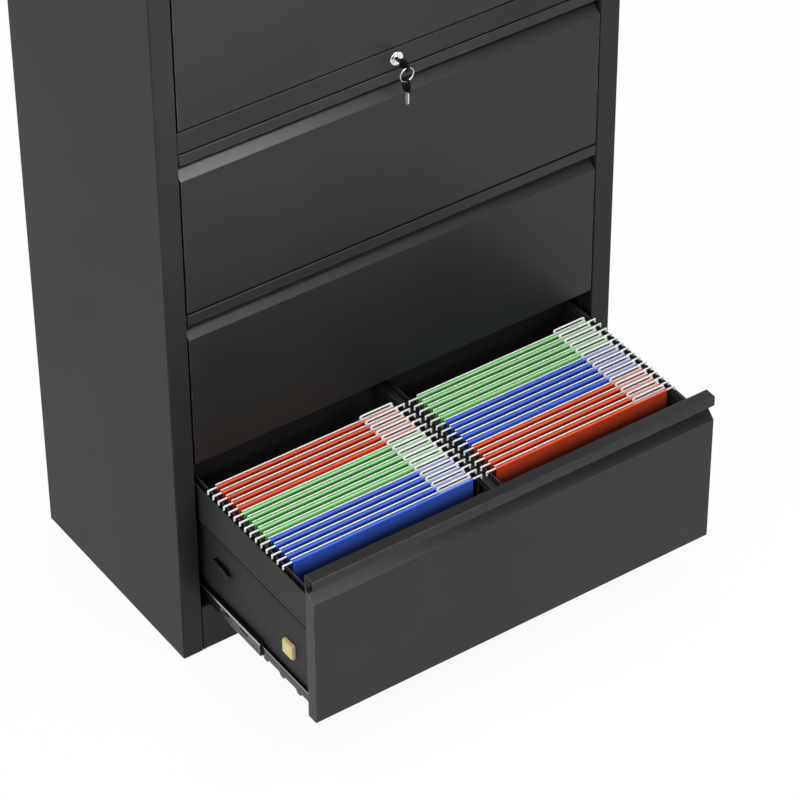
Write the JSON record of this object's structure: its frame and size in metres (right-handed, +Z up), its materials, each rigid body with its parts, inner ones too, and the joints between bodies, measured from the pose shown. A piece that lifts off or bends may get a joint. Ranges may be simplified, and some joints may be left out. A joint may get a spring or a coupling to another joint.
{
  "type": "lateral filing cabinet",
  "caption": "Wide steel lateral filing cabinet: drawers with finger pulls on full-extension slides, a key lock that lifts a locking bar, and the lowest drawer open on hanging files.",
  "frame": {"origin": "middle of the bounding box's footprint, on the floor, with the bottom drawer open as stored", "axes": "+Z up, +Y from the drawer fronts towards the back, +X to the right seen from the front"},
  "size_m": [0.9, 0.8018, 1.432],
  "materials": {
    "black_case": "satin charcoal-black powder coat",
    "black_front": "satin charcoal-black powder coat",
    "black_drawer": "satin black powder coat",
    "slide_steel": "black zinc plated",
    "zinc": "zinc plated",
    "weight": "as cast",
    "cream_plastic": "matt moulded",
    "lock_chrome": "polished",
    "key_black": "gloss moulded head",
    "file_red": "matt card",
    "file_green": "matt card",
    "file_blue": "matt card",
    "white_bar": "white lacquer",
    "clear_tab": "clear moulded"
  },
  "bodies": {
    "cabinet": {"side_panel_left": "black_case", "side_panel_right": "black_case", "back_panel": "black_case", "top_panel": "black_case", "base_pan": "black_case", "plinth": "black_case", "lock_rail": "black_case", "uprights": "black_case", "slide_outers": "slide_steel", "levelling_feet": "zinc", "counterweight": "weight", "case_screws": "zinc", "lock_housing": "lock_chrome"},
    "drawer_1": {"drawer_front_1": "black_front", "front_liner_1": "black_drawer", "drawer_sides_1": "black_drawer", "drawer_back_1": "black_drawer", "drawer_bottom_1": "black_drawer", "file_rails_1": "black_drawer", "slide_inners_1": "slide_steel", "bumpers_1": "cream_plastic"},
    "slide_mid_1": {"slide_mids_1": "slide_steel"},
    "drawer_2": {"drawer_front_2": "black_front", "front_liner_2": "black_drawer", "drawer_sides_2": "black_drawer", "drawer_back_2": "black_drawer", "drawer_bottom_2": "black_drawer", "file_rails_2": "black_drawer", "slide_inners_2": "slide_steel", "bumpers_2": "cream_plastic"},
    "slide_mid_2": {"slide_mids_2": "slide_steel"},
    "drawer_3": {"drawer_front_3": "black_front", "front_liner_3": "black_drawer", "drawer_sides_3": "black_drawer", "drawer_back_3": "black_drawer", "drawer_bottom_3": "black_drawer", "file_rails_3": "black_drawer", "slide_inners_3": "slide_steel", "bumpers_3": "cream_plastic"},
    "slide_mid_3": {"slide_mids_3": "slide_steel"},
    "drawer_4": {"drawer_front_4": "black_front", "front_liner_4": "black_drawer", "drawer_sides_4": "black_drawer", "drawer_back_4": "black_drawer", "drawer_bottom_4": "black_drawer", "file_rails_4": "black_drawer", "slide_inners_4": "slide_steel", "bumpers_4": "cream_plastic", "folders_red": "file_red", "folders_green": "file_green", "folders_blue": "file_blue", "file_bars": "white_bar", "file_tabs": "clear_tab"},
    "slide_mid_4": {"slide_mids_4": "slide_steel"},
    "lock_plug": {"lock_plug": "lock_chrome", "lock_key": "key_black"},
    "lock_rod": {"lock_rod": "zinc"},
    "lock_bar": {"lock_bar": "zinc"}
  },
  "joints": [
    {"name": "drawer_1_slide", "type": "slide", "parent": "cabinet", "child": "drawer_1", "axis": [0, -1, 0], "range_m": [0, 0.4]},
    {"name": "slide_mid_1_slide", "type": "slide", "parent": "cabinet", "child": "slide_mid_1", "axis": [0, -1, 0], "range_m": [0, 0.2345]},
    {"name": "drawer_2_slide", "type": "slide", "parent": "cabinet", "child": "drawer_2", "axis": [0, -1, 0], "range_m": [0, 0.4]},
    {"name": "slide_mid_2_slide", "type": "slide", "parent": "cabinet", "child": "slide_mid_2", "axis": [0, -1, 0], "range_m": [0, 0.2345]},
    {"name": "drawer_3_slide", "type": "slide", "parent": "cabinet", "child": "drawer_3", "axis": [0, -1, 0], "range_m": [0, 0.4]},
    {"name": "slide_mid_3_slide", "type": "slide", "parent": "cabinet", "child": "slide_mid_3", "axis": [0, -1, 0], "range_m": [0, 0.2345]},
    {"name": "drawer_4_slide", "type": "slide", "parent": "cabinet", "child": "drawer_4", "axis": [0, -1, 0], "range_m": [-0.35, 0.05]},
    {"name": "slide_mid_4_slide", "type": "slide", "parent": "cabinet", "child": "slide_mid_4", "axis": [0, -1, 0], "range_m": [-0.2052, 0.0294]},
    {"name": "lock_bar_slide", "type": "slide", "parent": "cabinet", "child": "lock_bar", "axis": [0, 0, 1], "range_m": [0, 0.016]},
    {"name": "lock_turn", "type": "hinge", "parent": "cabinet", "child": "lock_plug", "pos_m": [0, -0.0509, 1.0725], "axis": [0, 1, 0], "range_deg": [0, 90]},
    {"name": "lock_rod_slide", "type": "slide", "parent": "cabinet", "child": "lock_rod", "axis": [1, 0, 0], "range_m": [0, 0.0161]}
  ],
  "couplings": [
    {"joint": "slide_mid_1_slide", "follows": "drawer_1_slide", "ratio": 0.586},
    {"joint": "slide_mid_2_slide", "follows": "drawer_2_slide", "ratio": 0.586},
    {"joint": "slide_mid_3_slide", "follows": "drawer_3_slide", "ratio": 0.586},
    {"joint": "slide_mid_4_slide", "follows": "drawer_4_slide", "ratio": 0.586},
    {"joint": "lock_turn", "follows": "lock_bar_slide", "rad_per_m": 98.175},
    {"joint": "lock_rod_slide", "follows": "lock_bar_slide", "ratio": 1}
  ]
}
